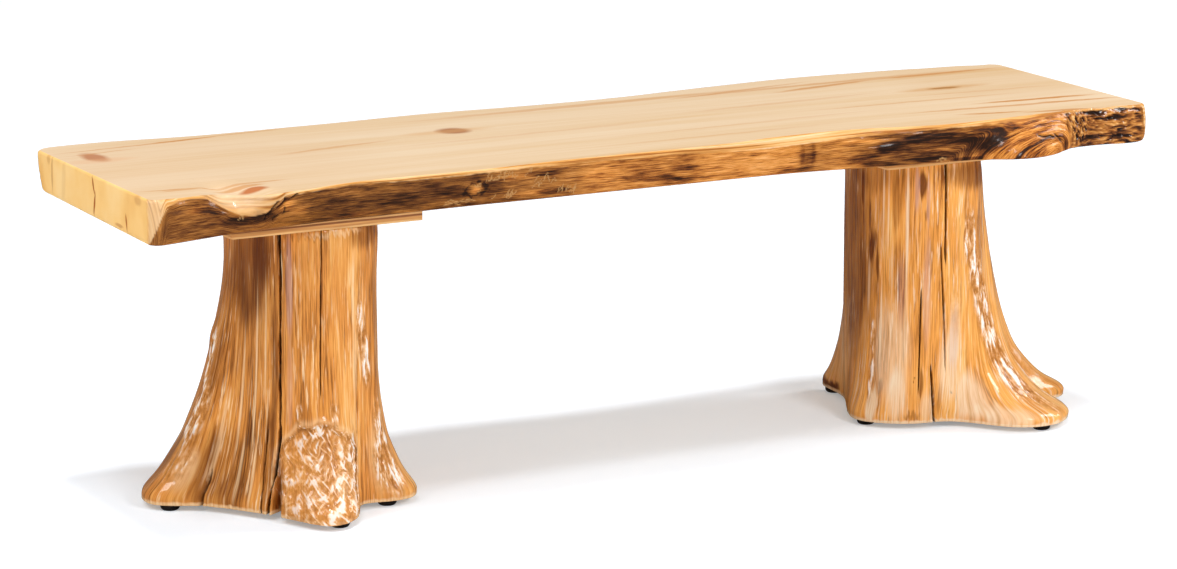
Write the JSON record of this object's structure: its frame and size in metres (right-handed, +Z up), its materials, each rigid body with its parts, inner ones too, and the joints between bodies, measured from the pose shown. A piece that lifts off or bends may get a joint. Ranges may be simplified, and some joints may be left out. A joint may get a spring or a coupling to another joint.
{
  "type": "log bench",
  "caption": "Live-edge slab bench seat carried on flared root stumps, with plywood mounting plates and screw-in levelling glides.",
  "frame": {"origin": "on the floor under the middle of the whole bench", "axes": "+X along the seat towards the stump with the wide right-hand roots, -Y towards the front live edge, +Z up"},
  "size_m": [1.524, 0.4728, 0.452],
  "materials": {
    "slab_wood": "clear satin lacquer",
    "stump_wood": "clear gloss lacquer",
    "plywood": "raw",
    "zinc_steel": "zinc plated",
    "black_plastic": "moulded"
  },
  "bodies": {
    "bench": {"seat_slab": "slab_wood", "left_stump": "stump_wood", "left_mounting_plate": "plywood", "left_stump_screws": "zinc_steel", "left_seat_screws": "zinc_steel", "left_seat_washers": "zinc_steel", "left_leveller_inserts": "zinc_steel", "right_stump": "stump_wood", "right_mounting_plate": "plywood", "right_stump_screws": "zinc_steel", "right_seat_screws": "zinc_steel", "right_seat_washers": "zinc_steel", "right_leveller_inserts": "zinc_steel"},
    "left_outer_glide": {"left_outer_pad": "black_plastic", "left_outer_stem": "zinc_steel"},
    "left_front_glide": {"left_front_pad": "black_plastic", "left_front_stem": "zinc_steel"},
    "left_inner_glide": {"left_inner_pad": "black_plastic", "left_inner_stem": "zinc_steel"},
    "left_back_glide": {"left_back_pad": "black_plastic", "left_back_stem": "zinc_steel"},
    "right_inner_glide": {"right_inner_pad": "black_plastic", "right_inner_stem": "zinc_steel"},
    "right_front_glide": {"right_front_pad": "black_plastic", "right_front_stem": "zinc_steel"},
    "right_outer_glide": {"right_outer_pad": "black_plastic", "right_outer_stem": "zinc_steel"},
    "right_back_glide": {"right_back_pad": "black_plastic", "right_back_stem": "zinc_steel"}
  },
  "joints": [
    {"name": "left_outer_level", "type": "slide", "parent": "bench", "child": "left_outer_glide", "axis": [0, 0, -1], "range_m": [0, 0.005]},
    {"name": "left_front_level", "type": "slide", "parent": "bench", "child": "left_front_glide", "axis": [0, 0, -1], "range_m": [0, 0.005]},
    {"name": "left_inner_level", "type": "slide", "parent": "bench", "child": "left_inner_glide", "axis": [0, 0, -1], "range_m": [0, 0.005]},
    {"name": "left_back_level", "type": "slide", "parent": "bench", "child": "left_back_glide", "axis": [0, 0, -1], "range_m": [0, 0.005]},
    {"name": "right_inner_level", "type": "slide", "parent": "bench", "child": "right_inner_glide", "axis": [0, 0, -1], "range_m": [0, 0.005]},
    {"name": "right_front_level", "type": "slide", "parent": "bench", "child": "right_front_glide", "axis": [0, 0, -1], "range_m": [0, 0.005]},
    {"name": "right_outer_level", "type": "slide", "parent": "bench", "child": "right_outer_glide", "axis": [0, 0, -1], "range_m": [0, 0.005]},
    {"name": "right_back_level", "type": "slide", "parent": "bench", "child": "right_back_glide", "axis": [0, 0, -1], "range_m": [0, 0.005]}
  ]
}
